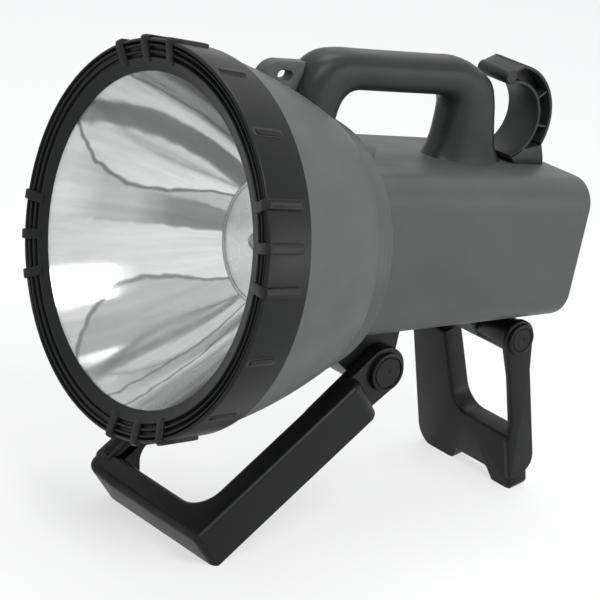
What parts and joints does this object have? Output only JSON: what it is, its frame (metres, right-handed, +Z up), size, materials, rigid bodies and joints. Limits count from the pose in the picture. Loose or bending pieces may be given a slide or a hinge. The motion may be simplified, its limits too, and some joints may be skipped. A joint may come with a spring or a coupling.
{
  "type": "handheld searchlight",
  "caption": "Handheld searchlight with a large round head in a ribbed ring, a loop handle, a hanging hook and fold-out front and rear stands.",
  "frame": {"origin": "on the floor under the middle of the lamp's length and width, as it stands on both stands", "axes": "+Z up, the beam points to -Y and 6.8 degrees up, +X is the side that the picture shows"},
  "size_m": [0.2244, 0.3198, 0.2979],
  "materials": {
    "body_grey": "fine satin texture",
    "ring_black": "satin",
    "grip_charcoal": "satin",
    "stand_black": "semi-gloss",
    "mirror_bright": "mirror",
    "lens_clear": "clear",
    "seal_rubber": "matt",
    "steel": "zinc plated",
    "brass": "satin",
    "ceramic": "matt",
    "battery_plastic": "satin",
    "board_green": "satin",
    "foam": "matt foam",
    "wire_red": "satin",
    "wire_black": "satin",
    "switch_red": "gloss",
    "light_green": "gloss"
  },
  "bodies": {
    "lamp": {"bezel_ring": "ring_black", "lens": "lens_clear", "lens_gasket": "seal_rubber", "reflector": "mirror_bright", "bulb_disc": "ceramic", "bulb_base": "steel", "bulb_capsule": "lens_clear", "bulb_holder": "ring_black", "bulb_clip": "steel", "bulb_connector": "ceramic", "head_shell": "body_grey", "main_housing": "body_grey", "rear_cover": "body_grey", "rear_cover_seal": "seal_rubber", "rear_cover_screw_1": "steel", "rear_cover_screw_2": "steel", "rear_cover_screw_3": "steel", "rear_cover_screw_4": "steel", "handle": "grip_charcoal", "handle_screw_1": "steel", "handle_screw_2": "steel", "strap_eye": "body_grey", "hanging_hook": "grip_charcoal", "hook_screw": "steel", "front_hinge_bracket": "ring_black", "rear_hinge_bracket": "body_grey", "switch_frame": "ring_black", "charge_socket": "ring_black", "charge_indicator": "light_green", "battery": "battery_plastic", "battery_tray": "ring_black", "battery_pad": "foam", "battery_bracket": "steel", "battery_terminal_positive": "brass", "battery_terminal_negative": "brass", "circuit_board": "board_green", "relay": "ring_black", "fuse_holder": "ceramic", "bulb_lead_positive": "wire_red", "bulb_lead_negative": "wire_black", "battery_lead_positive": "wire_red", "battery_lead_negative": "wire_black", "switch_lead_feed": "wire_red", "switch_lead_return": "wire_black"},
    "front_stand": {"front_stand": "stand_black", "front_hinge_pin": "steel", "front_pivot_cap_left": "stand_black", "front_pivot_cap_right": "stand_black"},
    "rear_stand": {"rear_stand": "stand_black", "rear_hinge_pin": "steel", "rear_pivot_cap_left": "stand_black", "rear_pivot_cap_right": "stand_black"},
    "switch_rocker": {"switch_rocker": "switch_red"},
    "charge_socket_cap": {"charge_socket_cap": "seal_rubber"}
  },
  "joints": [
    {"name": "front_stand_fold", "type": "hinge", "parent": "lamp", "child": "front_stand", "pos_m": [0, 0.01751, 0.10017], "axis": [1, 0, 0], "range_deg": [-16, 45]},
    {"name": "rear_stand_fold", "type": "hinge", "parent": "lamp", "child": "rear_stand", "pos_m": [0, 0.12782, 0.10455], "axis": [1, 0, 0], "range_deg": [-70, 15]},
    {"name": "switch_rock", "type": "hinge", "parent": "lamp", "child": "switch_rocker", "pos_m": [0, 0.15412, 0.17089], "axis": [1, 0, 0], "range_deg": [0, 16]},
    {"name": "charge_cap_swing", "type": "hinge", "parent": "lamp", "child": "charge_socket_cap", "pos_m": [-0.026, 0.15332, 0.15165], "axis": [1, 0, 0], "range_deg": [0, 110]}
  ]
}
